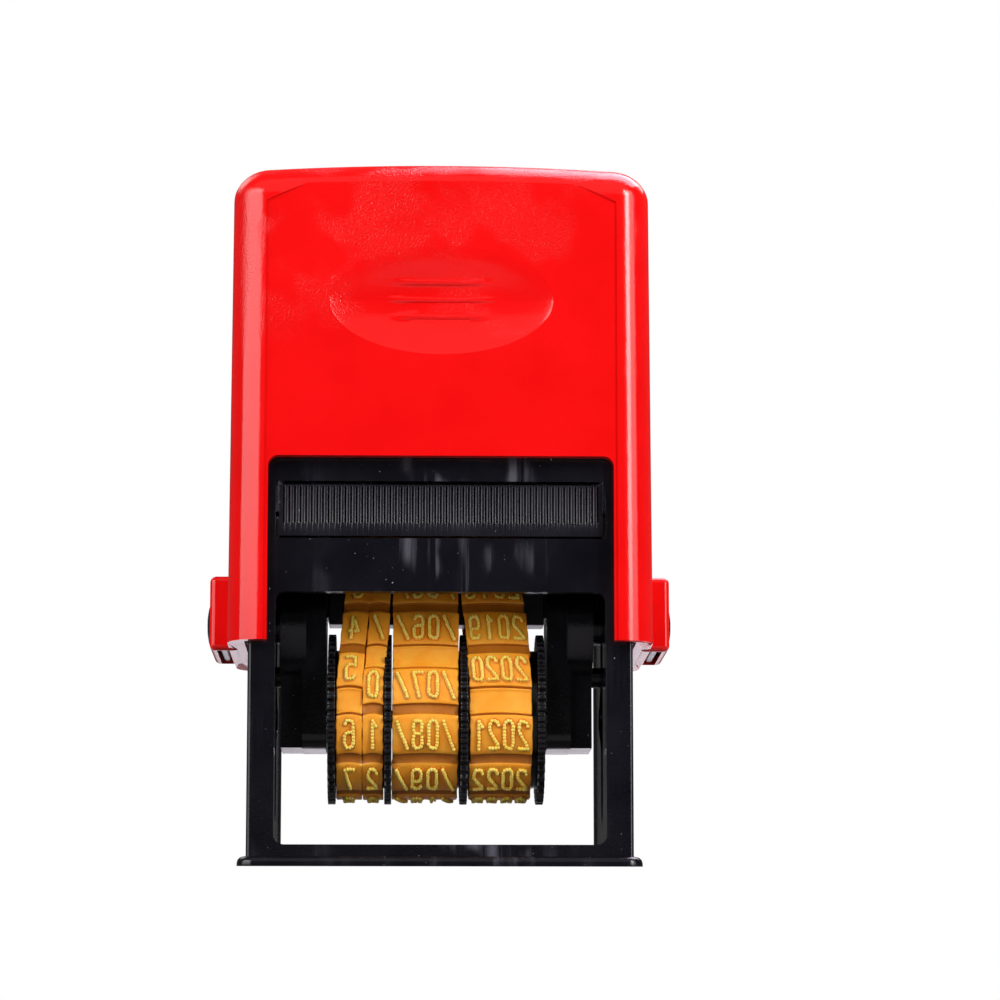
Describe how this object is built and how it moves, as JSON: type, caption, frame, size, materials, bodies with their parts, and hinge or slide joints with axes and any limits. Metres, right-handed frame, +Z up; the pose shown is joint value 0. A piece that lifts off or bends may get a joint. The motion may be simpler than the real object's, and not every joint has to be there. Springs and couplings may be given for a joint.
{
  "type": "rotary date stamp",
  "caption": "Self-inking rotary date stamp: pressing the cap turns a carrier of thumb wheels and rubber type bands from the ink pad down to the paper.",
  "frame": {"origin": "centre of the foot's rest face, in the plane of the paper", "axes": "+X to the user's right, +Y away from the user, +Z up along the cap's stroke"},
  "size_m": [0.0636, 0.0392, 0.0951],
  "materials": {
    "cap_plastic": "glossy moulded red",
    "frame_plastic": "semi-gloss moulded black",
    "bearing_plastic": "satin black",
    "pin_plastic": "satin black",
    "cartridge_plastic": "satin black",
    "carrier_plastic": "semi-gloss moulded black",
    "wheel_plastic": "satin black",
    "band_rubber": "ochre moulded rubber",
    "platen_metal": "bright steel",
    "axle_steel": "bright steel",
    "spring_steel": "bright wire",
    "ink_felt": "felt soaked with black ink"
  },
  "bodies": {
    "frame": {"base_frame": "frame_plastic", "return_spring": "spring_steel"},
    "cap": {"cap_shell": "cap_plastic", "bearing_left": "bearing_plastic", "bearing_right": "bearing_plastic"},
    "pad": {"pad_tray": "cartridge_plastic", "ink_felt": "ink_felt"},
    "carrier": {"cheek_left": "carrier_plastic", "cheek_right": "carrier_plastic", "pivot_pin_left": "pin_plastic", "pivot_pin_right": "pin_plastic", "platen": "platen_metal", "wheel_axle": "axle_steel", "band_units": "band_rubber", "band_tens": "band_rubber", "band_month": "band_rubber", "band_year": "band_rubber"},
    "wheel_units": {"wheel_units": "wheel_plastic"},
    "wheel_tens": {"wheel_tens": "wheel_plastic"},
    "wheel_month": {"wheel_month": "wheel_plastic"},
    "wheel_year": {"wheel_year": "wheel_plastic"}
  },
  "joints": [
    {"name": "cap_slide", "type": "slide", "parent": "frame", "child": "cap", "axis": [0, 0, -1], "range_m": [0, 0.0242], "stiffness_N_per_m": 170, "springref_m": -0.022, "deforming": ["return_spring"]},
    {"name": "pad_slide", "type": "slide", "parent": "frame", "child": "pad", "axis": [0, 1, 0], "range_m": [-0.036, 0]},
    {"name": "carrier_turn", "type": "hinge", "parent": "cap", "child": "carrier", "pos_m": [0, 0, 0.0339], "axis": [1, 0, 0], "range_deg": [0, 180.5]},
    {"name": "wheel_units_turn", "type": "hinge", "parent": "carrier", "child": "wheel_units", "pos_m": [0, 0, 0.0211], "axis": [1, 0, 0], "continuous": true},
    {"name": "wheel_tens_turn", "type": "hinge", "parent": "carrier", "child": "wheel_tens", "pos_m": [0, 0, 0.0211], "axis": [1, 0, 0], "continuous": true},
    {"name": "wheel_month_turn", "type": "hinge", "parent": "carrier", "child": "wheel_month", "pos_m": [0, 0, 0.0211], "axis": [1, 0, 0], "continuous": true},
    {"name": "wheel_year_turn", "type": "hinge", "parent": "carrier", "child": "wheel_year", "pos_m": [0, 0, 0.0211], "axis": [1, 0, 0], "continuous": true}
  ],
  "couplings": [
    {"joint": "carrier_turn", "follows": "cap_slide", "rad_per_m": 129.82}
  ]
}
